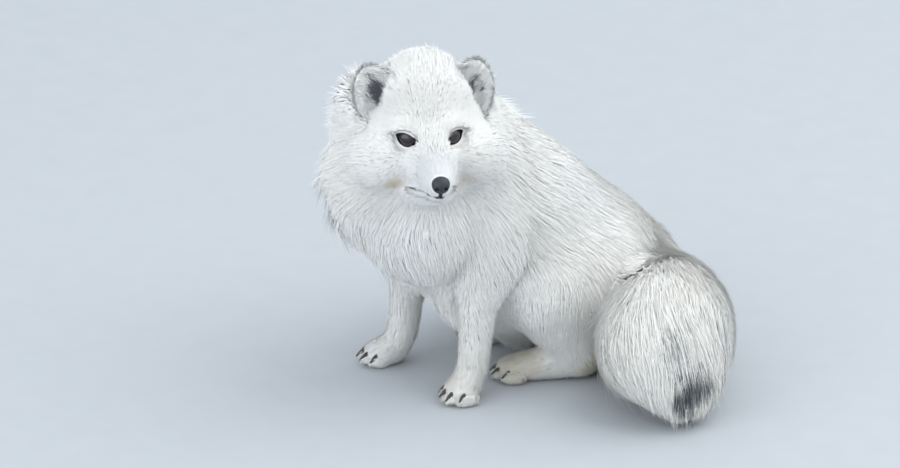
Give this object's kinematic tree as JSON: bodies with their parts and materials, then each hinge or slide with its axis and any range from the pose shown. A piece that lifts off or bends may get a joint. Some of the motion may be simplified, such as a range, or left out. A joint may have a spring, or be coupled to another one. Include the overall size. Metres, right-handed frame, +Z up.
{
  "type": "arctic fox",
  "caption": "Life-size arctic fox in white winter coat, sitting upright with its head turned to its left and its bushy dark-tipped tail curled round beside it.",
  "frame": {"origin": "centre of the model's bounding box, on the floor it sits on", "axes": "+Z up, the body faces -Y, the fox's own left side is +X; the head is turned 59 degrees to the fox's left"},
  "size_m": [0.405, 0.4346, 0.3809],
  "materials": {
    "coat": "matte",
    "eye": "gloss",
    "nose_leather": "satin",
    "claw_horn": "satin"
  },
  "bodies": {
    "root": {"claw_forepaw_left_1": "claw_horn", "claw_forepaw_left_2": "claw_horn", "claw_forepaw_left_3": "claw_horn", "claw_forepaw_left_4": "claw_horn", "claw_forepaw_right_1": "claw_horn", "claw_forepaw_right_2": "claw_horn", "claw_forepaw_right_3": "claw_horn", "claw_forepaw_right_4": "claw_horn", "claw_hindpaw_left_1": "claw_horn", "claw_hindpaw_left_2": "claw_horn", "claw_hindpaw_left_3": "claw_horn", "claw_hindpaw_left_4": "claw_horn", "claw_hindpaw_right_1": "claw_horn", "claw_hindpaw_right_2": "claw_horn", "claw_hindpaw_right_3": "claw_horn", "claw_hindpaw_right_4": "claw_horn", "ear_left": "coat", "ear_right": "coat", "eye_left": "eye", "eye_right": "eye", "foreleg_left": "coat", "foreleg_right": "coat", "forepaw_left": "coat", "forepaw_right": "coat", "head": "coat", "hindleg_left": "coat", "hindleg_right": "coat", "hindpaw_left": "coat", "hindpaw_right": "coat", "neck": "coat", "nose": "nose_leather", "tail": "coat", "trunk": "coat"}
  },
  "joints": []
}
